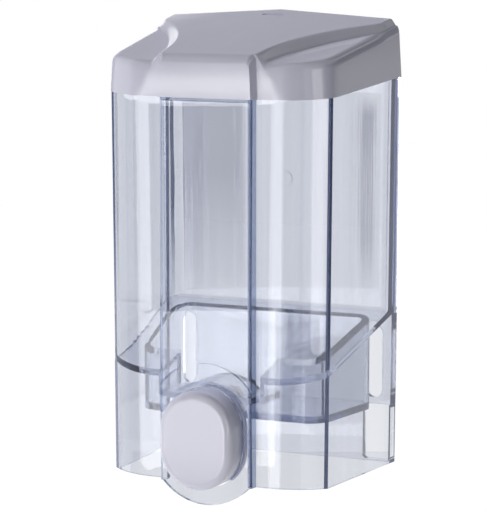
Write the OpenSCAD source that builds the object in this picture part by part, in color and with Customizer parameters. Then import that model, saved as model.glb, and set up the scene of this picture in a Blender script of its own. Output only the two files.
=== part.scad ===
// Wall mounted push-button soap dispenser, 0.5 litre.
// Clear one-piece tank and skirt, white hinged lid with a rear lock, oval push button
// and a small piston pump behind it.
// +Z up, front towards -Y, wall plane at y = 0, origin midway between the two wall screw holes.

/* [Shell] */
// Height of the shell from the skirt's lower edge to the rim under the lid, at the front
shell_h = 145; // [130:1:180]
// Width across the rear corners at the rim
rear_w = 100; // [96:0.2:118]
// Depth from the wall to the front rib's face
depth = 68.3; // [66.5:0.1:82]
// Thickness of the clear walls
wall = 2.5; // [1.8:0.1:3]
// How far each side wall turns in towards the front, in degrees
side_splay = 4.25; // [3:0.05:6]
// Draft of the side walls, in degrees
side_draft = 0.5; // [0:0.02:0.8]
// Radius of the wings' rounded front corners
wing_r = 28.5; // [20:0.5:34]
// Radius inside the tank's upright rear corners
rear_corner_r = 5.5; // [3:0.1:5.5]
// Rise of the rim per millimetre towards the wall
rim_slope = 0.083; // [0.05:0.001:0.12]

/* [Front rib] */
// Half width of the raised rib's face
rib_half_w = 18.9; // [18.7:0.1:21]
// Height of the rib above the wings
rib_step = 3.45; // [2:0.05:4]
// How far the rib's sides lean out at their foot
rib_lean = 0.7; // [0.2:0.1:1.5]
// Radius of the rounded tongue below the button
tongue_r = 24; // [21:0.1:26]
// Height of the tongue's centre above the skirt's lower edge
tongue_z = 16.1; // [14:0.1:18]
// Radius of the arched line on the rib above the button
brow_r = 23.3; // [22:0.1:24]
// Height of the arched line's centre above the skirt's lower edge
brow_z = 23.3; // [22:0.1:24]
// Depth of the arched line
brow_depth = 0.4; // [0.2:0.05:0.8]

/* [Tank floor] */
// Height of the floor's upper face at the rear wall
floor_rear_z = 61.8; // [58:0.2:66]
// Slope of the floor, in degrees
floor_slope = 18.1; // [15:0.1:20]
// Thickness of the floor
floor_t = 2.4; // [1.6:0.1:3]
// Height of the shallow step beside the button tunnel
step_z = 34; // [33:0.1:34.6]
// Outer radius of the tunnel over the button
tunnel_r = 19.5; // [19.3:0.1:20]
// Thickness of the tunnel's wall
tunnel_t = 1.7; // [1.2:0.1:1.8]
// Height of the tunnel's centre
tunnel_z = 19.6; // [19.4:0.1:20]
// Half width of the pocket beside the tunnel
pocket_half_w = 20.4; // [19.5:0.1:22]

/* [Sump] */
// Half width of the sump at its front
sump_half_w = 35; // [30:0.5:37]
// Distance from the wall to the sump's front, inside
sump_front = 46.6; // [45:0.1:48]
// Distance from the wall to the sump's rear, inside
sump_rear = 9; // [6:0.5:14]
// Height of the sump's bottom, inside
sump_z = 25; // [24:0.1:25.2]
// How far each side of the sump turns out towards the rear, in degrees
sump_splay = 6.5; // [3:0.5:8]
// Radius of the sump's corners
sump_r = 4.5; // [4:0.5:9]

/* [Rear wall] */
// Distance between the two wall screw holes
screw_pitch = 60; // [40:1:70]
// Diameter of the wall screw holes
screw_d = 6; // [4:0.1:6.5]
// Height of the wall screw holes above the shell's front rim
screw_h = 13; // [11:0.5:14.5]
// Height of the rear wall's top edge above the shell's front rim
rear_wall_h = 22; // [21:0.25:22.5]
// Height of the spigot inside the lid
spigot_h = 7; // [4:0.5:9]
// Thickness of the spigot
spigot_t = 1.1; // [0.8:0.1:1.1]
// Width of each lower window
window_w = 12.8; // [8:0.2:13]
// Height of each lower window
window_h = 22; // [16:0.5:23]
// Distance from the centre to each lower window's middle
window_x = 41.2; // [38:0.1:41.4]
// Width of the narrow slot above each window
slot_w = 7.2; // [4:0.2:8]
// Height of the narrow slot's lower end
slot_z = 25.2; // [24:0.2:30]
// Height of the narrow slot's top
slot_top_z = 54; // [40:0.5:56]
// Diameter of the moulding gate's disc on the rear wall
gate_d = 6.4; // [4:0.2:9]
// Distance of the moulding gate's disc from the centre line
gate_x = 2.4; // [0:0.2:5]
// Height of the moulding gate's disc
gate_z = 109.2; // [90:0.2:125]

/* [Lid] */
// How far the lid stands out past the shell
lid_over = 0.9; // [0.5:0.1:1.4]
// Thickness of the lid
lid_t = 2; // [1.6:0.1:2.4]
// Height of the lid's shoulders at the wall above the shell's front rim
shoulder_h = 25.1; // [24:0.1:27]
// Slope of the shoulders towards the front
shoulder_slope = 0.182; // [0.15:0.002:0.2]
// Height of the raised plateau at the wall above the shell's front rim, at the centre
crest_h = 30.5; // [29.5:0.1:35]
// Slope of the plateau towards the front
crest_slope = 0.211; // [0.19:0.001:0.225]
// Fall of the plateau from its centre line to its rear corners, per millimetre
crest_fall = 0.061; // [0:0.001:0.07]
// Half width of the plateau at the front
plateau_half_w = 18.9; // [18:0.1:20]
// Distance from the wall at which the plateau starts to flare
flare_start = 66.3; // [62:0.1:67]
// Flare of the plateau, per millimetre squared
flare_rate = 0.0084; // [0.007:0.0001:0.0088]
// Width of the bank between the plateau and the shoulders
bank_w = 5; // [3:0.1:6]
// Rounding of the lid's upper edges at the sides
lid_round = 3.5; // [1:0.25:4]
// Rounding of the lid's upper edges at the front
lid_front_round = 1.2; // [0.4:0.1:2]
// Draft of the lid's sides, in degrees
lid_draft = 2.9; // [0:0.1:3.5]
// Lid opening angle, in degrees
lid_open = 70; // [30:1:80]

/* [Lock] */
// Width of the key slot
key_w = 8.6; // [6:0.2:10]
// Depth of the key slot from front to rear
key_d = 2.4; // [2:0.1:3]
// Distance from the wall to the key slot's middle
key_y = 8.4; // [7:0.1:8.6]
// Distance from the wall to the latch's pin
latch_pin_y = 12.5; // [12:0.1:14]
// Diameter of the latch's pin
latch_pin_d = 2; // [1.6:0.1:2.4]
// Width of the latch
latch_w = 11; // [9:0.2:13]
// Thickness of the latch's bending tongue
latch_t = 1.2; // [0.8:0.1:1.6]

/* [Button] */
// Half width of the button
button_half_w = 15; // [14.4:0.05:15]
// Half height of the button
button_half_h = 18.8; // [18:0.1:18.8]
// Height of the button's centre above the skirt's lower edge
button_z = 17.9; // [17.6:0.1:18]
// How far the button stands out from the rib
button_proud = 9.6; // [9:0.1:11]
// Radius of the button's front edge
button_round = 3; // [2:0.25:4]
// Wall thickness of the button
button_t = 1.8; // [1.4:0.1:2]
// Gap round the button
button_gap = 0.35; // [0.3:0.05:0.4]
// Travel of the button
stroke = 7.5; // [5:0.25:7.5]

/* [Pump] */
// Radius of the pump's bore
bore_r = 7; // [6:0.1:7.2]
// Wall thickness of the pump's barrel
barrel_t = 1.6; // [1.2:0.1:1.7]
// Wire diameter of the return spring
spring_wire = 0.7; // [0.4:0.05:0.7]
// Turns of the return spring
spring_turns = 3; // [2:0.5:3]
// Distance from the sump's front wall to the rear end of the pump's bore
bore_stand_off = 5.4; // [5:0.1:5.6]
// Radius of the inlet ball
inlet_ball_r = 1.6; // [1.5:0.05:1.65]
// Travel of the inlet ball
inlet_lift = 0.8; // [0.5:0.05:0.9]
// Height of the inlet spigot's centre above the bore's centre
inlet_rise = 11.5; // [11.4:0.05:11.6]
// Radius of the inlet spigot
spigot_r = 3; // [2.9:0.05:3.05]
// Radius of the outlet ball
outlet_ball_r = 1.5; // [1.2:0.1:1.6]
// Travel of the outlet ball
outlet_lift = 0.7; // [0.4:0.05:0.8]

/* [Clearances] */
// Gap between a sliding seal and its bore
seal_gap = 0.05; // [0.02:0.01:0.1]
// Gap between parts that move past each other
run_gap = 0.3; // [0.2:0.05:0.4]
// Radial gap of a pin in its bearing
pin_gap = 0.05; // [0.02:0.01:0.1]

/* [Hidden] */
$fn = 64;

big = 400;
eps = 0.01;

// Heights above the skirt's lower edge
screw_z = shell_h + screw_h;
rear_wall_z = shell_h + rear_wall_h;
shoulder_z = shell_h + shoulder_h;
crest_z = shell_h + crest_h;

// Shell
wing_y = depth - rib_step;
side_at_wall = rear_w / 2;
crease_back = 9.3;
corner_x = side_at_wall - tan(side_splay) * (wing_y - crease_back)
    - sqrt(pow(wing_r, 2) - pow(wing_r - crease_back, 2));
rib_inner_half_w = rib_half_w - wall + 0.4;
spigot_inset = wall - spigot_t;
pocket_t = 1.6;
brow_w = 0.6;
gate_t = 0.5;
window_z = 0.8;
window_r = 1.5;
slot_shift = 2;

// Places along the pump's axis, measured from the wall
sump_face = sump_front + floor_t;
button_face = depth + button_proud;
button_inner = button_face - button_t;
button_rear = depth - wall - run_gap - 3;
rim_front = depth - wall - run_gap;
rim_t = 1.4;
rim_w = 0.9;
rim_cut = 3;
bore_rear = sump_face + bore_stand_off;
barrel_rear = bore_rear - 1;
barrel_front = button_inner - stroke - run_gap;
barrel_r = bore_r + barrel_t;
seal_w = 1.6;
seal_deep = 1.5;
piston_flange = 0.5;
piston_r = bore_r - run_gap;
piston_front = barrel_front - run_gap;
piston_rear = piston_front - seal_w - 2 * piston_flange;
socket_r = 5;
socket_len = 4;
stem_r = 3;
spring_r = bore_r - 1.6;
port_r = 1.3;
port_y = bore_rear + port_r + 0.5;

// Inlet: a spigot through the sump's front wall and a riser up from the bore
riser_r = 3;
riser_over = 3;
inlet_z = button_z + inlet_rise;
inlet_well_r = inlet_ball_r + run_gap;
inlet_port_r = 1;
inlet_seat_y = sump_front + 0.6;
inlet_seat_t = 1.2;
inlet_ball_y = inlet_seat_y + inlet_seat_t + run_gap
    + sqrt(pow(inlet_ball_r, 2) - pow(inlet_port_r, 2));
inlet_stop_y = inlet_ball_y + inlet_ball_r + inlet_lift;
bypass_w = 0.8;
collar_t = 1.2;
collar_w = 1.4;
gasket_t = 0.8;
gasket_w = 1.2;
nut_t = 2.4;
nut_r = spigot_r + 1.55;
spigot_end = sump_front - gasket_t - nut_t - 1;
plug_t = 1;
plug_stub = 0.8;

// Outlet under the barrel
nozzle_r = 3.6;
nozzle_end_z = button_z - barrel_r - 5.6;
outlet_well_r = outlet_ball_r + run_gap;
outlet_port_r = 0.9;
outlet_seat_z = button_z - bore_r - 1.2;
outlet_ball_z = outlet_seat_z - run_gap - sqrt(pow(outlet_ball_r, 2) - pow(outlet_port_r, 2));
outlet_wire = 0.3;
outlet_spring_r = 1;
outlet_spring_top = outlet_ball_z + outlet_wire / 2
    - sqrt(pow(outlet_ball_r + outlet_wire / 2, 2) - pow(outlet_spring_r, 2));
washer_t = 0.6;
cap_t = 1.2;
cap_wall = 0.8;
cap_h = 4.2;
notch_side = 1;

// Lid, hinge and latch
lid_slope = tan(lid_draft);
lid_rear = 0.3;
hinge_y = depth + lid_over;
hook_x = 8;
hook_w = 5;
hook_r = wall + lid_over + 0.8;
hook_t = 1.6;
hook_drop = 1.2;
latch_z = crest_z - crest_slope * latch_pin_y - lid_t - 3.4;
latch_hub_r = latch_pin_d / 2 + 1.2;
catch_top_z = rear_wall_z - 4.4;
catch_h = 6;
nose_t = 2;
nose_z = catch_top_z - run_gap - nose_t;
nose_y = 0.8;
ramp_y = 7.4;
ramp_h = 4;
ear_t = 2;

// Everything is drawn with z = 0 at the skirt's lower edge, then lowered to the origin.
module placed() {
    translate([0, 0, -screw_z]) children();
}

// A cylinder along Y from y0 to y1, both measured from the wall towards the front.
module barrel_y(r, y0, y1, z) {
    translate([0, -y0, z]) rotate([90, 0, 0]) cylinder(r = r, h = y1 - y0);
}

// A box centred on x = 0, from y0 to y1 in front of the wall and from z0 to z1.
module slab(w, y0, y1, z0, z1) {
    translate([-w / 2, -y1, z0]) cube([w, y1 - y0, z1 - z0]);
}

module both_sides() {
    children();
    mirror([1, 0, 0]) children();
}

// Everything outside the right side plane, moved in by inset, leaning out by lean degrees.
module outside_right(inset, lean) {
    translate([side_at_wall - inset, 0, shell_h])
        rotate([0, 0, -side_splay])
            rotate([0, lean, 0])
                translate([0, -big / 2, -big / 2]) cube([big, big, big]);
}

// Plan of the rib and of the shell's rear part, moved in by inset, behind them up to rear.
module plan(inset, rear) {
    half = inset > 0 ? rib_inner_half_w + wall - inset : rib_half_w;
    polygon([[-half, inset - depth], [half, inset - depth],
        [half + rib_lean, inset - wing_y + 1], [-half - rib_lean, inset - wing_y + 1]]);
    translate([-big / 4, wing_r - wing_y]) square([big / 2, wing_y - wing_r - rear]);
}

// Upright block of the shell's plan, with drafted corners, cut by the two side planes.
module block(inset, rear, z0, z1, lean = side_draft) {
    difference() {
        intersection() {
            union() {
                translate([0, 0, z0]) linear_extrude(z1 - z0) plan(inset, rear);
                difference() {
                    slab(2 * corner_x + wall, rear, wing_y - inset, z0, z1);
                    both_sides() tilted_corner(lean) translate([0, -big / 2, -big / 2]) cube([big, big, big]);
                }
                both_sides() tilted_corner(lean) cylinder(r = wing_r - inset, h = big, center = true, $fn = 128);
            }
            slab(big, rear, big, z0, z1);
        }
        both_sides() outside_right(inset, lean);
    }
}

// Frame of the right wing's corner, leaning out by lean degrees.
module tilted_corner(lean) {
    translate([corner_x, wing_r - wing_y, shell_h]) rotate([0, lean, 0]) children();
}

// Half space above the sloping tank floor, moved up by up.
module above_floor(up) {
    translate([0, 0, floor_rear_z + up])
        rotate([floor_slope, 0, 0])
            translate([-big / 2, -big / 2, 0]) cube([big, big, big]);
}

// Half space above the lid's lower edge, moved up by up.
module above_rim(up) {
    translate([-big / 2, -big - wing_y + eps, shell_h + up]) cube([big, big, big]);
    translate([0, -wing_y, shell_h + up])
        rotate([atan(rim_slope), 0, 0])
            translate([-big / 2, 0, 0]) cube([big, big, big]);
}

// Points of a polygon whose corners are rounded with radius r.
function unit(v) = v / norm(v);
function rounded_corner(a, b, c, r, n) =
    let (u = unit(a - b), w = unit(c - b), half = acos(u * w) / 2,
        mid = b + unit(u + w) * r / sin(half),
        start = b + u * r / tan(half), finish = b + w * r / tan(half),
        a0 = atan2(start[1] - mid[1], start[0] - mid[0]),
        turn = atan2(finish[1] - mid[1], finish[0] - mid[0]) - a0,
        sweep = turn > 180 ? turn - 360 : turn < -180 ? turn + 360 : turn)
    [for (i = [0:n]) mid + r * [cos(a0 + sweep * i / n), sin(a0 + sweep * i / n)]];
function rounded_polygon(pts, r, n = 8) =
    let (count = len(pts))
    [for (i = [0:count - 1])
        each rounded_corner(pts[(i + count - 1) % count], pts[i], pts[(i + 1) % count], r, n)];

// Sump: it widens towards the rear as the side walls do.
module sump_block(grow) {
    front = sump_front + grow;
    rear = sump_rear - grow;
    half_front = sump_half_w + grow;
    half_rear = half_front + (front - rear) * tan(sump_splay);
    translate([0, 0, sump_z - grow]) linear_extrude(floor_rear_z)
        polygon(rounded_polygon([[-half_front, -front], [half_front, -front],
            [half_rear, -rear], [-half_rear, -rear]], sump_r + grow));
}

// Oval with straight sides, standing in the XZ plane, from y0 to y1 in front of the wall.
module oval(half_w, half_h, y0, y1) {
    straight = button_half_h - button_half_w;
    translate([0, -y0, button_z]) rotate([90, 0, 0]) linear_extrude(y1 - y0) intersection() {
        union() {
            for (side = [-1, 1]) translate([0, side * straight]) circle(r = half_w, $fn = 128);
            square([2 * half_w, 2 * straight], center = true);
        }
        square([2 * half_w, 2 * half_h], center = true);
    }
}

// Pocket that the step beside the tunnel makes in the tank floor.
module front_pocket() {
    difference() {
        intersection() {
            slab(2 * pocket_half_w, sump_front - 1, depth, step_z, floor_rear_z);
            block(wall, wall, step_z - 1, shell_h);
        }
        barrel_y(tunnel_r, sump_front - 2, depth, tunnel_z);
    }
}

// Solid round that pocket, which closes it on the skirt's side.
module pocket_shell() {
    difference() {
        intersection() {
            slab(2 * (pocket_half_w + pocket_t), sump_front, depth, step_z - floor_t, floor_rear_z);
            block(wall / 2, wall / 2, 0, shell_h);
        }
        above_floor(0);
        barrel_y(tunnel_r - tunnel_t, sump_face, depth, tunnel_z);
    }
}

// Material that rounds the tank's upright rear corners on the inside.
module rear_fillets() {
    reach = 3 * rear_corner_r;
    back = wall + rear_corner_r;
    both_sides()
        translate([side_at_wall - wall - tan(side_splay) * back - rear_corner_r / cos(side_splay), -back, shell_h])
            rotate([0, side_draft, 0]) difference() {
                linear_extrude(big, center = true) polygon([[0, 0],
                    [reach * cos(side_splay), -reach * sin(side_splay)], [reach, reach], [0, reach]]);
                cylinder(r = rear_corner_r, h = 2 * big, center = true, $fn = 96);
            }
}

module tank_space() {
    difference() {
        intersection() {
            block(wall, wall, 0, rear_wall_z + 1);
            above_floor(0);
        }
        rear_fillets();
    }
    front_pocket();
    sump_block(0);
}

module skirt_space() {
    difference() {
        block(wall, wall, -1, floor_rear_z);
        above_floor(-floor_t / cos(floor_slope));
        pocket_shell();
        sump_block(floor_t);
    }
}

// Plate that hangs below the skirt under the button.
module tongue() {
    intersection() {
        barrel_y(tongue_r, depth - wall, depth, tongue_z);
        slab(2 * rib_half_w, depth - wall, depth, tongue_z - tongue_r, tongue_z);
    }
}

// Everything above the rim that isn't the spigot or the rear wall inside the lid.
module lid_room() {
    difference() {
        above_rim(0);
        difference() {
            block(spigot_inset, -1, 0, rear_wall_z + 1, -lid_draft);
            slab(big, wing_y - spigot_inset, big, 0, big);
        }
    }
    difference() {
        above_rim(spigot_h);
        slab(big, -1, wall, 0, rear_wall_z + 1);
    }
}

// Arched line on the rib above the button.
module brow() {
    difference() {
        barrel_y(brow_r, depth - brow_depth, depth + 1, brow_z);
        barrel_y(brow_r - brow_w, depth - brow_depth - 1, depth + 2, brow_z);
        slab(big, 0, big, -big, brow_z);
    }
}

module lower_window() {
    translate([window_x, 1, window_z + window_h / 2]) rotate([90, 0, 0]) linear_extrude(wall + 2)
        offset(window_r) square([window_w - 2 * window_r, window_h - 2 * window_r], center = true);
    for (z = [slot_z + slot_w / 2, slot_top_z - slot_w / 2])
        translate([window_x - slot_shift, 0, 0]) barrel_y(slot_w / 2, -1, wall + 1, z);
    translate([window_x - slot_shift, 0, 0])
        slab(slot_w, -1, wall + 1, slot_z + slot_w / 2, slot_top_z - slot_w / 2);
}

module body_shell() {
    color([0.80, 0.84, 0.95, 0.45]) placed() difference() {
        union() {
            difference() {
                block(0, 0, 0, rear_wall_z);
                tank_space();
                skirt_space();
                lid_room();
            }
            tongue();
            translate([gate_x, 0, 0]) barrel_y(gate_d / 2, wall - eps, wall + gate_t, gate_z);
        }
        oval(button_half_w + button_gap, button_half_h + button_gap, depth - wall - 1, depth + 1);
        brow();
        for (side = [-1, 1])
            translate([side * screw_pitch / 2, 0, 0]) barrel_y(screw_d / 2, -1, wall + 1, screw_z);
        both_sides() lower_window();
        // window that the latch's nose enters
        slab(latch_w + 1, -1, wall + 1, catch_top_z - catch_h, catch_top_z);
        // inlet port in the sump's front wall
        barrel_y(spigot_r + pin_gap, sump_front - 1, sump_face + 1, inlet_z);
    }
}

// ---- lid ----
// Half width of the lid's plan at distance y from the wall, grown by grow.
function half_plan(y, grow) =
    y > wing_y + grow
        ? rib_half_w - rib_lean + grow + (2 + rib_lean) * (depth + grow - y) / rib_step
        : min(side_at_wall + grow - tan(side_splay) * y,
            corner_x + sqrt(max(0, pow(wing_r + grow, 2) - pow(max(0, y - wing_y + wing_r), 2))));
// How far a rounded edge lies below the corner, at distance d behind the face.
function drop(d) =
    d > lid_front_round ? 0
        : lid_front_round - sqrt(pow(lid_front_round, 2) - pow(lid_front_round - max(0, d), 2));
function shoulder(y) = shoulder_z - shoulder_slope * y;
function crest(x, y) = crest_z - crest_slope * y - crest_fall * x * max(0, 1 - y / depth);
function plateau(y) = plateau_half_w + flare_rate * pow(max(0, flare_start - y), 2);

// Right half of the lid's upright outline at distance y from the wall, moved in by inset.
function lid_section(y, inset, z0) =
    let (grow = lid_over - inset, on_rib = y > wing_y + grow,
        half = half_plan(y, grow),
        side = half - lid_slope * (shoulder(y) - shell_h),
        top = on_rib ? side - lid_front_round : min(plateau(y), side - lid_round),
        p = crest(top, y) - inset - drop(depth + grow - y),
        s = on_rib ? p - lid_front_round
                   : min(shoulder(y), crest(top, y)) - inset - drop(wing_y + grow - y),
        foot = min(top + bank_w, side - (on_rib ? 0.3 : 0.9)),
        rx = min(lid_round, side - foot), rz = on_rib ? 0.3 : lid_round)
    concat(
        [[half + lid_slope * (shell_h - z0), z0]],
        [for (a = [0:22.5:90]) [side - rx * (1 - cos(a)), s - rz * (1 - sin(a))]],
        [for (t = [0:0.2:1]) let (u = t * t * (3 - 2 * t))
            [foot + (top - foot) * t - eps, s + (p - s) * u]],
        [[0, crest(0, y) - inset - drop(depth + grow - y)]]);
function mirrored(section) =
    concat(section, [for (i = [len(section) - 2:-1:0]) [-section[i][0], section[i][1]]]);

// Solid through the lid's outlines at the given distances from the wall, front first.
module loft(stations, inset, z0) {
    rows = [for (y = stations) [for (p = mirrored(lid_section(y, inset, z0))) [p[0], -y, p[1]]]];
    n = len(rows[0]);
    count = len(rows);
    polyhedron(
        points = [for (row = rows) each row],
        faces = concat(
            [[for (j = [n - 1:-1:0]) j]],
            [[for (j = [0:n - 1]) (count - 1) * n + j]],
            [for (i = [0:count - 2], j = [0:n - 1])
                let (k = (j + 1) % n)
                each [[i * n + j, (i + 1) * n + k, (i + 1) * n + j], [i * n + j, i * n + k, (i + 1) * n + k]]]),
        convexity = 6);
}

function stations(grow, rear) =
    let (behind = wing_y - wing_r + (wing_r + grow) * cos(64))
    concat(
        [for (t = [0, 0.1, 0.35, 1]) depth + grow - t * lid_front_round],
        [wing_y + grow + 2 * eps],
        [for (a = [2:5:62]) wing_y - wing_r + (wing_r + grow) * cos(a)],
        [for (i = [0:10]) behind + (rear - behind) * i / 10]);

module lid_skin() {
    difference() {
        loft(stations(lid_over, lid_rear), 0, shell_h - 2);
        loft(stations(lid_over - lid_t, lid_rear + lid_t), lid_t, shell_h - 3);
        difference() {
            slab(big, -big / 2, big / 2, 0, shell_h + big / 8);
            above_rim(0);
        }
        // room for the top of the rear wall
        slab(rear_w - 2, -1, wall + run_gap, 0, rear_wall_z + run_gap);
    }
}

// Curved hook that swings about the hinge line behind the rib's face.
module hinge_hook() {
    translate([hook_x, -hinge_y, shell_h]) rotate([0, 90, 0]) difference() {
        cylinder(r = hook_r + hook_t, h = hook_w);
        translate([0, 0, -1]) cylinder(r = hook_r, h = hook_w + 2);
        translate([-big / 2, lid_t / 2 - big, -1]) cube([big, big, hook_w + 2]);
        translate([hook_drop, -big / 2, -1]) cube([big, big, hook_w + 2]);
    }
}

module lid() {
    color([0.83, 0.83, 0.87]) placed() difference() {
        union() {
            lid_skin();
            both_sides() hinge_hook();
            // ears that hold the latch's pin
            intersection() {
                both_sides() translate([latch_w / 2 + run_gap, -latch_pin_y - latch_hub_r, latch_z - latch_hub_r])
                    cube([ear_t, 2 * latch_hub_r, 3 * latch_hub_r + lid_t]);
                loft(stations(lid_over - lid_t / 2, lid_rear), lid_t / 2, shell_h);
            }
        }
        slab(key_w, key_y - key_d / 2, key_y + key_d / 2, latch_z, crest_z);
        cross_pin(latch_pin_d, 2 * latch_w);
    }
}

// ---- lock ----
module cross_pin(d, w) {
    translate([-w / 2, -latch_pin_y, latch_z]) rotate([0, 90, 0]) cylinder(d = d, h = w);
}

// Spring tongue: the key slides down its ramp and bends the nose out of the rear wall.
module lid_latch() {
    color([0.86, 0.86, 0.88]) placed() difference() {
        union() {
            cross_pin(2 * latch_hub_r, latch_w);
            slab(latch_w, latch_pin_y - latch_t / 2, latch_pin_y + latch_t / 2, nose_z,
                latch_z + latch_hub_r + run_gap);
            translate([-latch_w / 2, 0, nose_z]) rotate([90, 0, 90]) linear_extrude(latch_w)
                polygon([[-latch_pin_y, 0], [-nose_y, 0], [-nose_y, nose_t], [-ramp_y, nose_t],
                    [-latch_pin_y, nose_t + ramp_h]]);
        }
        cross_pin(latch_pin_d + 2 * pin_gap, 2 * latch_w);
    }
}

module latch_pin() {
    color([0.72, 0.73, 0.75]) placed() cross_pin(latch_pin_d, latch_w + 2 * run_gap + 2 * ear_t);
}

// ---- button ----
// Half outline of the cap's length section: x outwards, y forwards, front edge rounded.
module cap_profile(half_w, length, r) {
    square([half_w, length - r]);
    square([half_w - r, length]);
    translate([half_w - r, length - r]) intersection() {
        circle(r = r);
        square([r, r]);
    }
}

// Oval cap with a rounded front edge, from y0 to y1 in front of the wall.
module oval_cap(half_w, y0, y1, r) {
    straight = button_half_h - button_half_w;
    translate([0, -y0, button_z]) rotate([90, 0, 0]) {
        for (side = [0, 180]) rotate([0, 0, side]) translate([0, straight, 0])
            rotate_extrude(angle = 180, $fn = 96) cap_profile(half_w, y1 - y0, r);
        translate([0, straight, 0]) rotate([90, 0, 0]) linear_extrude(2 * straight)
            for (side = [0, 1]) mirror([side, 0]) cap_profile(half_w, y1 - y0, r);
    }
}

module push_button() {
    notch_w = 2 * (nozzle_r + cap_wall + notch_side);
    color([0.86, 0.86, 0.90]) placed() difference() {
        union() {
            oval_cap(button_half_w, button_rear, button_face, button_round);
            oval(button_half_w + rim_w, button_half_h - rim_cut, rim_front - rim_t, rim_front);
        }
        difference() {
            oval_cap(button_half_w - button_t, button_rear - 1, button_inner,
                max(button_round - button_t, 0.5));
            barrel_y(socket_r, button_inner - socket_len, button_face, button_z);
        }
        barrel_y(stem_r, button_rear, button_inner, button_z);
        // notch for the outlet when the button is pressed
        slab(notch_w, button_rear - 1, port_y + nozzle_r + cap_wall + stroke + notch_side,
            -big, button_z - button_half_h + 2 * button_t);
    }
}

module piston() {
    color([0.90, 0.90, 0.90]) placed() {
        barrel_y(stem_r, piston_rear, button_inner, button_z);
        difference() {
            barrel_y(piston_r, piston_rear, piston_front, button_z);
            seal_groove();
        }
    }
}

module seal_groove() {
    y0 = piston_rear + piston_flange;
    difference() {
        barrel_y(bore_r + 1, y0, y0 + seal_w, button_z);
        barrel_y(piston_r - seal_deep, y0 - 1, y0 + seal_w + 1, button_z);
    }
}

module piston_seal() {
    color([0.15, 0.15, 0.16]) placed() intersection() {
        seal_groove();
        barrel_y(bore_r - seal_gap, piston_rear, piston_front, button_z);
    }
}

// A spring's wire, coiled along +Z.
module spring(mean_r, wire, length, turns) {
    pitch = (length - wire) / turns;
    steps = 20;
    sides = 8;
    count = turns * steps;
    polyhedron(
        points = [for (i = [0:count], k = [0:sides - 1])
            let (a = 360 * i / steps, b = 360 * k / sides, r = mean_r + wire / 2 * cos(b))
            [r * cos(a), r * sin(a), wire / 2 + pitch * i / steps + wire / 2 * sin(b)]],
        faces = concat(
            [[for (k = [0:sides - 1]) k]],
            [[for (k = [sides - 1:-1:0]) count * sides + k]],
            [for (i = [0:count - 1], k = [0:sides - 1])
                let (m = (k + 1) % sides)
                each [[i * sides + k, (i + 1) * sides + k, (i + 1) * sides + m],
                    [i * sides + k, (i + 1) * sides + m, i * sides + m]]]),
        convexity = 10);
}

module return_spring() {
    color([0.72, 0.73, 0.76]) placed()
        translate([0, -bore_rear, button_z]) rotate([90, 0, 0])
            spring(spring_r, spring_wire, piston_rear - bore_rear, spring_turns);
}

// ---- pump ----
module pump_barrel() {
    color([0.88, 0.89, 0.90]) placed() difference() {
        union() {
            barrel_y(barrel_r, barrel_rear, barrel_front, button_z);
            translate([0, -port_y, button_z]) cylinder(r = riser_r, h = inlet_rise + riser_over);
            barrel_y(spigot_r, spigot_end, port_y, inlet_z);
            barrel_y(spigot_r + collar_w, sump_face, sump_face + collar_t, inlet_z);
            translate([0, -port_y, nozzle_end_z]) cylinder(r = nozzle_r, h = button_z - nozzle_end_z);
        }
        barrel_y(bore_r, bore_rear, barrel_front + 1, button_z);
        // inlet
        translate([0, -port_y, button_z]) cylinder(r = port_r, h = inlet_rise + riser_over + 1);
        barrel_y(inlet_well_r, spigot_end - 1, inlet_stop_y, inlet_z);
        barrel_y(port_r, inlet_stop_y - eps, port_y, inlet_z);
        slab(bypass_w, inlet_stop_y - eps, port_y, inlet_z - inlet_well_r, inlet_z + inlet_well_r);
        // outlet
        translate([0, -port_y, nozzle_end_z - 1]) {
            cylinder(r = outlet_port_r, h = button_z - nozzle_end_z);
            cylinder(r = outlet_well_r, h = outlet_seat_z - nozzle_end_z + 1);
        }
    }
}

module valve_plug() {
    top = inlet_z + riser_over;
    color([0.88, 0.89, 0.90]) placed() translate([0, -port_y, 0]) {
        translate([0, 0, top]) cylinder(r = riser_r, h = plug_t);
        translate([0, 0, top - plug_stub]) cylinder(r = port_r, h = plug_stub + eps);
    }
}

module inlet_seat() {
    color([0.2, 0.2, 0.22]) placed() difference() {
        barrel_y(inlet_well_r, inlet_seat_y, inlet_seat_y + inlet_seat_t, inlet_z);
        barrel_y(inlet_port_r, inlet_seat_y - 1, inlet_seat_y + inlet_seat_t + 1, inlet_z);
    }
}

module inlet_ball() {
    color([0.93, 0.93, 0.93]) placed()
        translate([0, -inlet_ball_y, inlet_z]) sphere(r = inlet_ball_r);
}

module inlet_gasket() {
    color([0.2, 0.2, 0.22]) placed() difference() {
        barrel_y(spigot_r + gasket_w, sump_front - gasket_t, sump_front, inlet_z);
        barrel_y(spigot_r, sump_front - gasket_t - 1, sump_front + 1, inlet_z);
    }
}

module lock_nut() {
    front = sump_front - gasket_t;
    color([0.90, 0.91, 0.92]) placed() difference() {
        translate([0, -front, inlet_z]) rotate([-90, 0, 0]) cylinder(r = nut_r, h = nut_t, $fn = 6);
        barrel_y(spigot_r, front - nut_t - 1, front + 1, inlet_z);
    }
}

module outlet_ball() {
    color([0.75, 0.76, 0.78]) placed()
        translate([0, -port_y, outlet_ball_z]) sphere(r = outlet_ball_r);
}

module outlet_spring() {
    color([0.7, 0.71, 0.74]) placed() translate([0, -port_y, nozzle_end_z])
        spring(outlet_spring_r, outlet_wire, outlet_spring_top - nozzle_end_z, 3);
}

module nozzle_seal() {
    color([0.2, 0.2, 0.22]) placed() translate([0, -port_y, nozzle_end_z - washer_t]) difference() {
        cylinder(r = nozzle_r, h = washer_t);
        translate([0, 0, -1]) cylinder(r = outlet_port_r, h = washer_t + 2);
    }
}

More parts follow.
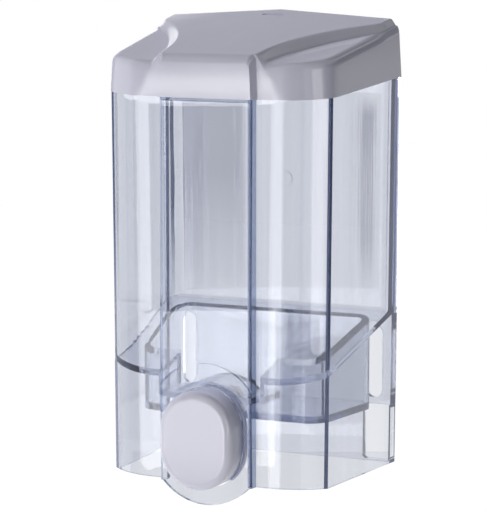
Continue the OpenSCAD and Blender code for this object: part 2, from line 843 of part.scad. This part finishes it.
module nozzle_cap() {
    bottom = nozzle_end_z - washer_t - cap_t;
    color([0.88, 0.89, 0.90]) placed() translate([0, -port_y, bottom]) difference() {
        cylinder(r = nozzle_r + cap_wall, h = cap_h);
        translate([0, 0, cap_t]) cylinder(r = nozzle_r, h = cap_h);
        translate([0, 0, -1]) cylinder(r = outlet_port_r, h = cap_t + 2);
    }
}

body_shell();
lid();
lid_latch();
latch_pin();
push_button();
piston();
piston_seal();
return_spring();
pump_barrel();
valve_plug();
inlet_seat();
inlet_ball();
inlet_gasket();
lock_nut();
outlet_ball();
outlet_spring();
nozzle_seal();
nozzle_cap();
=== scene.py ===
import math
from math import cos, sin, tan, sqrt, radians
import bpy
import bmesh
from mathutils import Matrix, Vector


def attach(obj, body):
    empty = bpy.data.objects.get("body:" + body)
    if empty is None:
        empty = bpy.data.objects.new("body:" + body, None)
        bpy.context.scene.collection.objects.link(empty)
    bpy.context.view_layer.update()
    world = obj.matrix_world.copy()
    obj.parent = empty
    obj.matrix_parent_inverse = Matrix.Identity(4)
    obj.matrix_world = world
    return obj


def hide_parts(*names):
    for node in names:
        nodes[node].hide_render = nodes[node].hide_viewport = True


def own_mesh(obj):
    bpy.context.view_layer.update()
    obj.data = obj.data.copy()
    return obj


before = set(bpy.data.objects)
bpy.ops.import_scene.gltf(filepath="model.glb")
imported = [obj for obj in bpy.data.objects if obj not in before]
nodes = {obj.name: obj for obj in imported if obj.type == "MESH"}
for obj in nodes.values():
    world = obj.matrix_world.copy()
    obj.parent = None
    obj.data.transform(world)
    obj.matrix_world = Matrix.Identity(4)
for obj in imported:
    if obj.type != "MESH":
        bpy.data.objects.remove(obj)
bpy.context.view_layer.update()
scene = bpy.context.scene
MM = 0.001

# ---- sizes in millimetres, as in the part's source; z is above the skirt's lower edge ----
SCREW_Z = 158.0                             # height of the screw holes, where the frame has its origin
SHELL_H, REAR_W, DEPTH = 145.0, 100.0, 68.3
SIDE_SPLAY, WING_R, RIM_SLOPE = tan(radians(4.25)), 28.5, 0.083
RIB_HALF_W, RIB_STEP, RIB_LEAN = 18.9, 3.45, 0.7
WING_Y = DEPTH - RIB_STEP
CREASE_BACK = 9.3
CORNER_X = (REAR_W / 2 - SIDE_SPLAY * (WING_Y - CREASE_BACK)
            - sqrt(WING_R ** 2 - (WING_R - CREASE_BACK) ** 2))
BROW_R, BROW_Z, CREASE_LOW = 23.3, 23.3, 43.0

LID_OVER, LID_T, LID_REAR = 0.9, 2.0, 0.3
LID_SLOPE = tan(radians(2.9))
CREST_Z, CREST_FALL, CREST_TILT = 175.5, 0.211, 0.061
SHOULDER_Z, SHOULDER_FALL = 170.1, 0.182
PLATEAU_HALF_W, PLATEAU_FLARE, PLATEAU_Y = 18.9, 0.0084, 66.3
LID_FRONT_R, LID_WING_R, LID_BACK_R, LID_SIDE_R = 3.0, 2.8, 1.0, 3.5
CORNER_SOFT = 3.5                           # how far the wing's arc runs softly into the side
STEP_LEAN = 0.5                             # how much wider the lid's rib is at its root
LIP, LIP_R = 1.2, 0.3                       # bank and rounding along the rib's top
BANK_W, WING_LEDGE = 5.0, 0.9               # bank of the plateau, and ledge outside it
RIM_DROP = 2.0
ROW_GAP, ROOT_BACK, ROOT_OUT = 0.01, 0.001, 0.05   # keep neighbouring rows and points apart
LID_ANGLES = (0.3, 2, 4, 6, 8, 10, 12, 14, 16, 18, 20.5, 23, 26, 29, 32, 35, 38, 41,
              44, 46, 47.5, 49, 51, 54, 58, 62)
LID_SIDE_ROWS = 30
WALL_ROOM = (-49, 49, -2.8, 1, 130, 167.3)
KEY_SLOT, KEY_SLOT_R = (-4.3, 4.3, -9.6, -7.2, 160, 180), 0.6

EDGE_R, RIB_EDGE_R, CREASE_R = 0.45, 1.3, 0.8
NEAR, ON_LINE, GROOVE_W = 3.0, 0.1, 0.7     # reach of the tests for faces and points along an edge
CREASE_SHADE = 0.2                           # edge mask on the creases, where 1 is the full darker tint of the painted shade


# ---- helpers ----
def mesh_object(name, verts, faces, smooth=True):
    """A mesh from points in the part's millimetres."""
    mesh = bpy.data.meshes.new(name)
    mesh.from_pydata([(x * MM, y * MM, (z - SCREW_Z) * MM) for x, y, z in verts], [], faces)
    mesh.validate()
    mesh.update()
    obj = bpy.data.objects.new(name, mesh)
    scene.collection.objects.link(obj)
    if smooth:
        mesh.shade_smooth()
    return obj


def apply_modifiers(obj):
    deps = bpy.context.evaluated_depsgraph_get()
    mesh = bpy.data.meshes.new_from_object(obj.evaluated_get(deps), depsgraph=deps)
    mesh.name = obj.name
    obj.modifiers.clear()
    obj.data = mesh


def box_mesh(name, x0, x1, y0, y1, z0, z1):
    v = [(x, y, z) for z in (z0, z1) for y in (y0, y1) for x in (x0, x1)]
    f = [(0, 2, 3, 1), (4, 5, 7, 6), (0, 1, 5, 4), (2, 6, 7, 3), (0, 4, 6, 2), (1, 3, 7, 5)]
    return mesh_object(name, v, f, smooth=False)


def cut(obj, cutters):
    for c in cutters:
        m = obj.modifiers.new("cut", "BOOLEAN")
        m.object, m.operation, m.solver = c, "DIFFERENCE", "EXACT"
    apply_modifiers(obj)
    for c in cutters:
        bpy.data.objects.remove(c)


def smooth_by_angle(obj, degrees):
    obj.data.shade_smooth()
    obj.data.set_sharp_from_angle(angle=radians(degrees))


def flat_normals(obj):
    """Large faces keep their own normals, so only the rounded edges bend light."""
    m = obj.modifiers.new("normals", "WEIGHTED_NORMAL")
    m.mode, m.weight, m.keep_sharp = "FACE_AREA", 100, True
    apply_modifiers(obj)


# ---- lid ----
def round_drop(d, r):
    """How far a rounded edge of radius r has dropped at distance d from the wall."""
    return 0.0 if d > r else r - sqrt(r * r - (r - max(0.0, d)) ** 2)


def half_plan(y, grow):
    """Half of the lid's width at one depth, in plan."""
    if y > WING_Y + grow:
        return RIB_HALF_W - RIB_LEAN + grow + (STEP_LEAN + RIB_LEAN) * (DEPTH + grow - y) / RIB_STEP
    arc = CORNER_X + sqrt(max(0.0, (WING_R + grow) ** 2 - max(0.0, y - WING_Y + WING_R) ** 2))
    side = REAR_W / 2 + grow - SIDE_SPLAY * y
    blend = max(0.0, CORNER_SOFT - abs(side - arc))
    return min(side, arc) - blend * blend / (4 * CORNER_SOFT)


def crest(x, y):
    """Height of the plateau."""
    return CREST_Z - CREST_FALL * y - CREST_TILT * x * max(0.0, 1 - y / DEPTH)


def rim(y):
    return SHELL_H + RIM_SLOPE * max(0.0, WING_Y - y)


def lid_section(y, inset, root=False):
    """Outline of the lid at one depth; the root is the outline just behind the rib's step."""
    grow = LID_OVER - inset
    on_rib = y > WING_Y + grow
    half = half_plan(WING_Y + grow + ROW_GAP, grow) + ROOT_OUT if root else half_plan(y, grow)
    side = half - LID_SLOPE * (SHOULDER_Z - SHOULDER_FALL * y - SHELL_H)
    plateau = PLATEAU_HALF_W + PLATEAU_FLARE * max(0.0, PLATEAU_Y - y) ** 2
    top = side - LIP if on_rib or root else min(plateau, side - LID_SIDE_R)
    front = round_drop(DEPTH + grow - y, LID_FRONT_R)
    back = round_drop(y - LID_REAR, LID_BACK_R) if inset == 0 else 0.0
    p = crest(top, y) - inset - front - back
    if on_rib:
        s = p - LIP
    else:
        s = min(SHOULDER_Z - SHOULDER_FALL * y, crest(top, y)) - inset
        s -= round_drop(WING_Y + grow - y, LID_WING_R) + back
    foot = min(top + BANK_W, side - (LIP_R if on_rib or root else WING_LEDGE))
    rx, rz = min(LID_SIDE_R, side - foot), (LIP_R if on_rib else LID_SIDE_R)
    z0 = rim(y)
    low = half + RIM_DROP * LID_SLOPE
    pts = [(low + (side - low) * (z - SHELL_H + RIM_DROP) / (s - rz - SHELL_H + RIM_DROP), z)
           for z in (z0 + (s - rz - z0) * t for t in (0.0, 0.03, 0.25, 0.5, 0.75))]
    pts += [(side - rx * (1 - cos(radians(a))), s - rz * (1 - sin(radians(a)))) for a in range(0, 91, 9)]
    for t in (i / 16 for i in range(17)):
        bend = t * t * (3 - 2 * t)
        pts.append((foot + (top - foot) * t - ROW_GAP, s + (p - s) * bend))
    for x in [(top - ROW_GAP) * (1 - t) for t in (0.1, 0.3, 0.5, 0.7, 0.85, 0.95, 1.0)]:
        pts.append((x, crest(x, y) - inset - front - back))
    return pts


def lid_rows(inset, rear):
    grow = LID_OVER - inset
    ys = [DEPTH + grow - LID_FRONT_R * (1 - cos(radians(a))) for a in range(0, 91, 9)]
    ys += [DEPTH + grow - LID_FRONT_R - (RIB_STEP - LID_FRONT_R - 2 * ROW_GAP) * t for t in (0.5, 1.0)]
    ys += [WING_Y - WING_R + (WING_R + grow) * cos(radians(a)) for a in LID_ANGLES]
    last = ys[-1]
    ys += [last + (rear - last) * i / LID_SIDE_ROWS for i in range(1, LID_SIDE_ROWS - 2)]
    left = ys[-1] - rear
    ys += [rear + left * t for t in (0.75, 0.5, 0.3, 0.15, 0.07, 0.02, 0.0)]
    rows = []
    for y, root in sorted([(y, False) for y in ys] + [(WING_Y + grow - ROOT_BACK, True)], reverse=True):
        right = lid_section(y, inset, root)
        rows.append([(x, -y, z) for x, z in right] + [(-x, -y, z) for x, z in right[-2::-1]])
    return rows


def build_lid():
    """Outer and inner skin of the lid, joined along the rim and closed at both ends."""
    outer = lid_rows(0.0, LID_REAR)
    inner = lid_rows(LID_T, LID_REAR + LID_T)
    n, count = len(outer[0]), len(outer)
    verts = [p for row in outer for p in row] + [p for row in inner for p in row]
    faces = []
    base = n * count
    for i in range(count - 1):
        for j in range(n - 1):
            a = i * n + j
            faces.append((a, a + 1, a + n + 1, a + n))
            b = base + a
            faces.append((b, b + n, b + n + 1, b + 1))
        for j in (0, n - 1):
            a, b = i * n + j, base + i * n + j
            quad = (a, a + n, b + n, b)
            faces.append(quad if j == 0 else quad[::-1])
    end = (count - 1) * n
    faces += [tuple(range(n - 1, -1, -1)), tuple(base + k for k in range(n)),
              (base, base + n - 1, n - 1, 0),
              tuple(end + k for k in range(n)), tuple(base + end + k for k in range(n - 1, -1, -1)),
              (end, end + n - 1, base + end + n - 1, base + end)]
    obj = mesh_object("lid_cover", verts, faces)
    bm = bmesh.new()
    bm.from_mesh(obj.data)
    bmesh.ops.remove_doubles(bm, verts=bm.verts, dist=1e-7)
    bmesh.ops.recalc_face_normals(bm, faces=bm.faces)
    bm.to_mesh(obj.data)
    bm.free()
    key_slot = box_mesh("cut_key", *KEY_SLOT)
    m = key_slot.modifiers.new("round", "BEVEL")
    m.width, m.segments, m.affect = KEY_SLOT_R * MM, 4, "EDGES"
    apply_modifiers(key_slot)
    cut(obj, [box_mesh("cut_wall", *WALL_ROOM), key_slot])
    smooth_by_angle(obj, 32)
    flat_normals(obj)
    return obj


lid = build_lid()
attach(lid, "cover")
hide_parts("lid")


# ---- clear shell: the CAD solid with softened edges ----
def place(v):
    """A point of the shell in the part's millimetres, with y towards the front."""
    return v.x / MM, -v.y / MM, v.z / MM + SCREW_Z


def round_edges(bm, on_edge, radius):
    """Rounds the edges whose both ends pass the test; the new faces get material 1."""
    edges = [e for e in bm.edges if all(on_edge(*place(v.co)) for v in e.verts)]
    bmesh.ops.bevel(bm, geom=edges, offset=radius * MM, segments=5, profile=0.5, affect="EDGES", material=1)


def mark_edges(obj):
    """A mask for the material's painted shade, a darker tint: up to 1 on rounded edges, on the rib's steps
    and along the groove, 0 on the open walls.
    """
    mesh = obj.data
    mask = mesh.attributes.new("edge", "FLOAT", "FACE")
    for face in mesh.polygons:
        x, y, z = place(face.center)
        groove = (y > DEPTH - EDGE_R and z > BROW_Z
                  and BROW_R - GROOVE_W < math.hypot(x, z - BROW_Z) < BROW_R + ON_LINE)
        step = abs(face.normal.x) > 0.6 and y > WING_Y - NEAR / 2 and abs(x) < RIB_HALF_W + NEAR
        crease = abs(x) > CORNER_X - NEAR and y > WING_Y - CREASE_BACK - NEAR
        edge = face.material_index == 1 and (not crease or z >= CREASE_LOW)
        full = 1.0 if edge or step or groove else 0.0
        mask.data[face.index].value = CREASE_SHADE if edge and crease else full
        face.material_index = 0


def build_shell():
    obj = bpy.data.objects.new("clear_shell", nodes["body_shell"].data.copy())
    scene.collection.objects.link(obj)
    bm = bmesh.new()
    bm.from_mesh(obj.data)
    bmesh.ops.remove_doubles(bm, verts=bm.verts, dist=2e-6)
    bmesh.ops.dissolve_limit(bm, angle_limit=radians(0.6), verts=bm.verts, edges=bm.edges)
    for f in bm.faces:
        f.smooth = True
    round_edges(bm, lambda x, y, z: abs(abs(x) - RIB_HALF_W) < ON_LINE
                and abs(y - DEPTH) < ON_LINE, RIB_EDGE_R)
    bmesh.ops.bisect_plane(bm, geom=bm.verts[:] + bm.edges[:] + bm.faces[:], dist=1e-7,
                           plane_co=(0, 0, (CREASE_LOW - SCREW_Z) * MM), plane_no=(0, 0, 1))
    round_edges(bm, lambda x, y, z: abs(x) > CORNER_X - NEAR - 1 and z > CREASE_LOW - ON_LINE
                and abs(y - WING_Y + CREASE_BACK) < ON_LINE + 0.05, CREASE_R)
    bm.to_mesh(obj.data)
    bm.free()
    m = obj.modifiers.new("edges", "BEVEL")
    m.width, m.segments, m.limit_method, m.angle_limit, m.material = EDGE_R * MM, 2, "ANGLE", radians(28), 1
    apply_modifiers(obj)
    smooth_by_angle(obj, 35)
    flat_normals(obj)
    mark_edges(obj)
    return obj


shell = build_shell()
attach(shell, "tank")
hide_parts("body_shell")


# ---- materials ----
def new_material(name):
    mat = bpy.data.materials.new(name)
    mat.use_nodes = True
    nt = mat.node_tree
    nt.nodes.clear()
    return mat, nt, nt.nodes.new("ShaderNodeOutputMaterial")


def node(nt, kind, **settings):
    n = nt.nodes.new(kind)
    for key, value in settings.items():
        setattr(n, key, value)
    return n


def noise(nt, scale, detail=3.0, rough=0.5, stretch=None):
    spot = node(nt, "ShaderNodeTexCoord").outputs["Object"]
    if stretch:
        squeeze = node(nt, "ShaderNodeMapping")
        squeeze.inputs["Scale"].default_value = stretch
        nt.links.new(spot, squeeze.inputs["Vector"])
        spot = squeeze.outputs["Vector"]
    n = node(nt, "ShaderNodeTexNoise")
    n.inputs["Scale"].default_value = scale
    n.inputs["Detail"].default_value = detail
    n.inputs["Roughness"].default_value = rough
    nt.links.new(spot, n.inputs["Vector"])
    return n.outputs["Fac"]


def ramp(nt, source, stops):
    """Colours, or grey values, along a source."""
    r = node(nt, "ShaderNodeValToRGB")
    while len(r.color_ramp.elements) < len(stops):
        r.color_ramp.elements.new(0.5)
    for e, (pos, value) in zip(r.color_ramp.elements, stops):
        e.position, e.color = pos, (*value, 1.0) if isinstance(value, tuple) else (value, value, value, 1.0)
    nt.links.new(source, r.inputs["Fac"])
    return r.outputs["Color"]


def bump(nt, height, strength):
    """A normal from a height, in a relief 0.4 mm deep at strength 1."""
    b = node(nt, "ShaderNodeBump")
    b.inputs["Strength"].default_value = strength
    b.inputs["Distance"].default_value = 0.0004
    nt.links.new(height, b.inputs["Height"])
    return b.outputs["Normal"]


def mixed(nt, amount, first, second):
    """A shader that is first where amount is 0 and second where it is 1."""
    mix = node(nt, "ShaderNodeMixShader")
    nt.links.new(amount, mix.inputs["Fac"])
    nt.links.new(first, mix.inputs[1])
    nt.links.new(second, mix.inputs[2])
    return mix.outputs["Shader"]


def coloured(nt, kind, output, colour):
    """A plain shader of one colour, such as a diffuse or an emission one."""
    shader = node(nt, kind)
    shader.inputs["Color"].default_value = (*colour, 1)
    return shader.outputs[output]


def plastic(name, colour, roughness, grain=0.02, spread=0.03):
    """Moulded plastic or rubber: a little cloudy in colour and gloss, with a fine grain."""
    mat, nt, out = new_material(name)
    b = node(nt, "ShaderNodeBsdfPrincipled")
    dark = tuple(c * (1 - spread) for c in colour)
    lite = tuple(min(1.0, c * (1 + spread)) for c in colour)
    nt.links.new(ramp(nt, noise(nt, 45, 4), [(0.3, dark), (0.7, lite)]), b.inputs["Base Color"])
    gloss = ramp(nt, noise(nt, 160, 5, 0.6), [(0.3, roughness * 0.85), (0.7, roughness * 1.2)])
    nt.links.new(gloss, b.inputs["Roughness"])
    nt.links.new(bump(nt, noise(nt, 900, 2), grain), b.inputs["Normal"])
    nt.links.new(b.outputs["BSDF"], out.inputs["Surface"])
    return mat


def clear(name, tint, edge_shade_tint, milk, absorb, density, haze):
    """Clear plastic that bends light; long ways through the wall turn blue. Lamps shine through it. Painted
    shade: faces in the edge mask take a darker blue tint.
    """
    mat, nt, out = new_material(name)
    edge = node(nt, "ShaderNodeAttribute", attribute_name="edge")
    glass = node(nt, "ShaderNodeBsdfGlass")
    glass.inputs["Roughness"].default_value = 0.0
    glass.inputs["IOR"].default_value = 1.49
    # painted shade: where the edge mask is 1 the glass takes the darker edge tint
    nt.links.new(ramp(nt, edge.outputs["Fac"], [(0.0, tint), (1.0, edge_shade_tint)]), glass.inputs["Color"])
    streaks = noise(nt, 9, 4, 0.55, stretch=(14, 14, 0.5))
    nt.links.new(bump(nt, streaks, 0.09), glass.inputs["Normal"])
    cloud = ramp(nt, streaks, [(0.35, haze * 0.3), (0.7, haze * 2.0)])
    body = mixed(nt, cloud, glass.outputs["BSDF"], coloured(nt, "ShaderNodeBsdfDiffuse", "BSDF", milk))
    path = node(nt, "ShaderNodeLightPath")
    through = coloured(nt, "ShaderNodeBsdfTransparent", "BSDF", tint)
    nt.links.new(mixed(nt, path.outputs["Is Shadow Ray"], body, through), out.inputs["Surface"])
    vol = node(nt, "ShaderNodeVolumeAbsorption")
    vol.inputs["Color"].default_value = (*absorb, 1)
    vol.inputs["Density"].default_value = density
    nt.links.new(vol.outputs["Volume"], out.inputs["Volume"])
    return mat


def metal(name, colour, roughness=0.3, spread=0.08):
    mat, nt, out = new_material(name)
    b = node(nt, "ShaderNodeBsdfPrincipled")
    b.inputs["Metallic"].default_value = 1.0
    b.inputs["Base Color"].default_value = (*colour, 1)
    gloss = ramp(nt, noise(nt, 700, 3), [(0.3, roughness - spread), (0.7, roughness + spread)])
    nt.links.new(gloss, b.inputs["Roughness"])
    nt.links.new(b.outputs["BSDF"], out.inputs["Surface"])
    return mat


def paint(obj, mat):
    obj.data.materials.clear()
    obj.data.materials.append(mat)


WHITE = plastic("lid_white", (0.60, 0.594, 0.695), 0.07, grain=0.008, spread=0.012)
BUTTON = plastic("button_white", (0.64, 0.634, 0.735), 0.10, grain=0.008, spread=0.01)
PUMP = plastic("pump_milky", (0.60, 0.62, 0.68), 0.4)
RUBBER = plastic("seal_black", (0.03, 0.03, 0.033), 0.6)
STEEL = metal("spring_steel", (0.60, 0.61, 0.64))
BALL = plastic("ball_white", (0.65, 0.67, 0.70), 0.15)
# the darker edge tint is painted shade on the shell's rounded edges, rib steps and groove
CLEAR = clear("shell_clear", tint=(0.925, 0.930, 0.945), edge_shade_tint=(0.62, 0.66, 0.75),
              milk=(0.42, 0.45, 0.56), absorb=(0.30, 0.38, 0.60), density=36.0, haze=0.03)

paint(lid, WHITE)
paint(shell, CLEAR)
for mat, names in ((WHITE, ("lid_latch",)), (BUTTON, ("push_button",)), (BALL, ("inlet_ball",)),
                   (STEEL, ("latch_pin", "return_spring", "outlet_ball", "outlet_spring")),
                   (PUMP, ("piston", "pump_barrel", "valve_plug", "lock_nut", "nozzle_cap")),
                   (RUBBER, ("piston_seal", "inlet_seat", "inlet_gasket", "nozzle_seal"))):
    for name in names:
        for s in nodes[name].material_slots:
            s.material = mat

# ---- springs: each gets its own copy of its mesh, carried with the tank; anchors in metres ----
for name, joint, axis, anchor, keep in (
        ("return_spring", "button_slide", (0, 1, 0), (0, -0.0544, 0), 0.318),
        ("outlet_spring", "outlet_ball_slide", (0, 0, 1), (0, 0, -0.1543), 0.79)):
    coil = bpy.data.objects.new(name + "_coil", nodes[name].data.copy())
    scene.collection.objects.link(coil)
    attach(coil, "tank")
    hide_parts(name)
    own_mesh(coil)

# ---- camera, in front of the right side and a little above ----
AZ, EL, DIST = radians(25.405), radians(7.699), 1.013948
LENS, SENSOR = 185.5627, 36.0
AIM_RIGHT, AIM_Y, AIM_Z = -0.00208, -0.030, (81.795 - SCREW_Z) * MM
target = Vector((AIM_RIGHT * cos(AZ), AIM_Y + AIM_RIGHT * sin(AZ), AIM_Z))
away = Vector((sin(AZ) * cos(EL), -cos(AZ) * cos(EL), sin(EL)))
cam = bpy.data.cameras.new("camera")
cam.sensor_width, cam.lens = SENSOR, LENS
cam_obj = bpy.data.objects.new("camera", cam)
scene.collection.objects.link(cam_obj)
cam_obj.location = target + away * DIST
cam_obj.rotation_euler = (-away).to_track_quat("-Z", "Y").to_euler()
scene.camera = cam_obj


# ---- floor and world ----
def white_seen(nt):
    """1 for rays that should see the white background: camera, glossy and transmission rays."""
    path = node(nt, "ShaderNodeLightPath")
    a = node(nt, "ShaderNodeMath", operation="MAXIMUM")
    b = node(nt, "ShaderNodeMath", operation="MAXIMUM")
    nt.links.new(path.outputs["Is Camera Ray"], a.inputs[0])
    nt.links.new(path.outputs["Is Glossy Ray"], a.inputs[1])
    nt.links.new(a.outputs[0], b.inputs[0])
    nt.links.new(path.outputs["Is Transmission Ray"], b.inputs[1])
    return b.outputs[0]


FLOOR_Z, FLOOR_REACH, FLOOR_GREY, FLOOR_GLOW, GLOW_SHARE = -450, 4000, 0.80, 1.05, 0.96
floor = mesh_object("floor", [(x * FLOOR_REACH, y * FLOOR_REACH, FLOOR_Z)
                              for x, y in ((-1, -1), (1, -1), (1, 1), (-1, 1))], [(0, 1, 2, 3)], smooth=False)
mat, nt, out = new_material("floor_pale")
glow = node(nt, "ShaderNodeEmission")
glow.inputs["Strength"].default_value = FLOOR_GLOW
share = node(nt, "ShaderNodeMath", operation="MULTIPLY")
share.inputs[1].default_value = GLOW_SHARE
nt.links.new(white_seen(nt), share.inputs[0])
matt = coloured(nt, "ShaderNodeBsdfDiffuse", "BSDF", (FLOOR_GREY,) * 3)
nt.links.new(mixed(nt, share.outputs[0], matt, glow.outputs["Emission"]), out.inputs["Surface"])
paint(floor, mat)

world = bpy.data.worlds.new("studio")
scene.world = world
world.use_nodes = True
wt = world.node_tree
wt.nodes.clear()
lit = coloured(wt, "ShaderNodeBackground", "Background", (0.93, 0.95, 1.0))
lit.node.inputs["Strength"].default_value = 0.21
seen = coloured(wt, "ShaderNodeBackground", "Background", (1, 1, 1))
w_out = node(wt, "ShaderNodeOutputWorld")
wt.links.new(mixed(wt, white_seen(wt), lit, seen), w_out.inputs["Surface"])


# ---- lamps and dark cards: upright panels round the object; azimuth 0 is in front, sizes in metres ----
def panel_ends(azimuths, distance):
    return [Vector((sin(radians(a)) * distance, -cos(radians(a)) * distance + AIM_Y, 0)) for a in azimuths]


def softbox(name, azimuths, distance, low, high, radiance, lights=True, shines=True):
    """A lamp on an upright panel. Without lights it only shows, in glossy surfaces and through the shell."""
    ends = panel_ends(azimuths, distance)
    middle = (ends[0] + ends[1]) / 2
    data = bpy.data.lights.new(name, "AREA")
    data.shape, data.size, data.size_y = "RECTANGLE", (ends[1] - ends[0]).length, high - low
    data.energy = radiance * data.size * data.size_y * math.pi
    obj = bpy.data.objects.new(name, data)
    scene.collection.objects.link(obj)
    obj.location = middle.x, middle.y, (low + high) / 2
    obj.rotation_euler = (Vector((0, AIM_Y, 0)) - middle).to_track_quat("-Z", "Y").to_euler()
    obj.visible_camera = False
    obj.visible_diffuse = lights
    obj.visible_glossy = obj.visible_transmission = shines


def card(name, corners, shade, cover, mirrored, through):
    """A dark card that glossy or transmission rays see; cover says how solid it is from its u and v."""
    mesh = bpy.data.meshes.new(name)
    mesh.from_pydata([tuple(c) for c in corners], [], [(0, 1, 2, 3)])
    uv = mesh.uv_layers.new(name="UVMap")
    for loop, spot in zip(uv.data, ((0, 0), (1, 0), (1, 1), (0, 1))):
        loop.uv = spot
    obj = bpy.data.objects.new(name, mesh)
    scene.collection.objects.link(obj)
    obj.visible_camera = obj.visible_diffuse = obj.visible_shadow = False
    obj.visible_glossy, obj.visible_transmission = mirrored, through
    mat, nt, out = new_material(name)
    split = node(nt, "ShaderNodeSeparateXYZ")
    nt.links.new(node(nt, "ShaderNodeTexCoord").outputs["UV"], split.inputs["Vector"])
    open_part = node(nt, "ShaderNodeBsdfTransparent").outputs["BSDF"]
    dark = coloured(nt, "ShaderNodeEmission", "Emission", shade)
    amount = cover(nt, split.outputs["X"], split.outputs["Y"])
    nt.links.new(mixed(nt, amount, open_part, dark), out.inputs["Surface"])
    paint(obj, mat)


def flag(name, azimuths, distance, low, high, shade=(0.02, 0.02, 0.03),
         mirrored=True, through=False, fade=0.06):
    """A dark card on an upright panel; its lower edge is soft."""
    ends = panel_ends(azimuths, distance)
    corners = [(ends[k].x, ends[k].y, z) for k, z in ((0, low), (1, low), (1, high), (0, high))]
    card(name, corners, shade, lambda nt, u, v: ramp(nt, v, [(0.0, 0.0), (fade, 1.0)]), mirrored, through)


SHADE_BACK = 0.22                           # how far the soft dark cards stand behind the camera's aim


def shade_card(name, sides, low, high, across, upward, ripple=0.0):
    """Painted shade: a soft dark card behind the tank, lined up with the camera's aim as a stand-in for the
    dark parts of a room, seen only through the clear shell.
    Its sides, low and high edges are metres to the right of the camera's axis and above it.
    across and upward say how solid it is."""
    right = Vector((cos(AZ), sin(AZ), 0))
    up = away.cross(right)
    middle = target - away * SHADE_BACK
    corners = [middle + right * x + up * z
               for x, z in ((sides[0], low), (sides[1], low), (sides[1], high), (sides[0], high))]

    def cover(nt, u, v):
        wave = node(nt, "ShaderNodeMath", operation="MULTIPLY_ADD")
        nt.links.new(noise(nt, 12, 3, 0.6, stretch=(3, 3, 1)), wave.inputs[0])
        wave.inputs[1].default_value = ripple
        nt.links.new(u, wave.inputs[2])
        amount = node(nt, "ShaderNodeMath", operation="MULTIPLY")
        nt.links.new(ramp(nt, wave.outputs[0], across), amount.inputs[0])
        nt.links.new(ramp(nt, v, upward), amount.inputs[1])
        return amount.outputs[0]

    card(name, corners, (0.03, 0.045, 0.13), cover, mirrored=False, through=True)


# These light the object.
softbox("front", (-45, -5), 1.0, -0.40, 0.40, 1.7, shines=False)
softbox("left", (-115, -58), 0.95, -0.45, 0.35, 1.8, shines=False)
softbox("right", (22, 52), 1.0, -0.30, -0.05, 1.5, shines=False)
softbox("low_front", (-40, 20), 0.80, -0.44, -0.25, 1.5, shines=False)
softbox("high_back", (-170, -120), 1.0, 0.30, 1.00, 13.5, shines=False)
# These only shine in it.
softbox("strip_left_low", (-52, -25.4), 0.95, -0.35, -0.235, 3.2, lights=False)
softbox("strip_left", (-52, -29.5), 0.95, -0.235, -0.085, 3.2, lights=False)
softbox("strip_right_low", (-25.4, -10), 0.95, -0.35, -0.235, 3.2, lights=False)
softbox("strip_right", (-18.5, -2), 0.95, -0.52, -0.085, 3.0, lights=False)
softbox("strip_crease", (42, 62), 0.95, -0.27, 0.16, 2.4, lights=False)
softbox("far_left", (-115, -58), 0.95, -0.45, 0.35, 1.9, lights=False)
for k, azimuths in enumerate(((-75, -53), (-53, -31), (-31, -9), (-9, 12))):
    softbox(f"lid_line_{k}", azimuths, 0.95, -0.0725, -0.0655, 13.0, lights=False)
    softbox(f"lid_zone_{k}", azimuths, 0.95, -0.085, -0.0725, 4.5, lights=False)
# The flags keep the room's white out of the reflections, and two show through the shell as painted shade.
flag("flag_left", (-58, -25.4), 1.0, -0.25, 0.60)
flag("flag_middle", (0.5, 29.5), 1.15, -0.50, 0.50)
flag("flag_right", (70, 120), 1.0, -0.30, 0.60)
flag("flag_side", (120, 150), 1.2, -0.01, 0.70)
flag("flag_over", (160, 255), 1.1, 0.18, 1.40)
# Painted shade: these two cards put a dark streak and a dark blue edge into the view through the shell.
flag("flag_dark_streak", (232, 258), 1.2, -0.28, 0.40, (0.09, 0.10, 0.17), through=True, fade=0.12)
flag("flag_edge", (278, 300), 0.9, -0.40, 0.40, (0.05, 0.10, 0.34), mirrored=False, through=True, fade=0.1)
# Painted shade: four soft dark cards that darken parts of the tank seen through the shell.
shade_card("shade_band", (-0.0353, 0.0026), -0.0229, 0.0804,
           [(0.0, 0.0), (0.05, 0.6), (0.14, 0.75), (0.22, 0.48), (0.5, 0.42), (0.90, 0.45), (1.0, 0.0)],
           [(0.0, 0.0), (0.15, 0.35), (0.4, 0.7), (0.6, 1.0)])
shade_card("shade_side", (0.0484, 0.0708), -0.0206, 0.0753,
           [(0.0, 0.0), (0.3, 0.05), (0.5, 0.55), (0.58, 0.6), (0.72, 0.08), (1.0, 0.0)],
           [(0.0, 0.0), (0.3, 0.8), (0.9, 1.0), (1.0, 0.0)], ripple=0.30)
shade_card("shade_sump", (0.0189, 0.0386), -0.0500, -0.0229,
           [(0.0, 0.0), (0.12, 0.42), (0.85, 0.5), (1.0, 0.0)],
           [(0.0, 0.0), (0.06, 0.9), (0.7, 1.0), (1.0, 0.0)])
shade_card("shade_low", (-0.0671, 0.0778), -0.1197, -0.0912,
           [(0.0, 0.14), (1.0, 0.14)], [(0.0, 1.0), (1.0, 1.0)])

# ---- picture settings and bounces ----
scene.view_settings.view_transform = "Standard"
scene.cycles.transparent_max_bounces = 48
scene.cycles.max_bounces = scene.cycles.transmission_bounces = 32
scene.cycles.glossy_bounces = 16
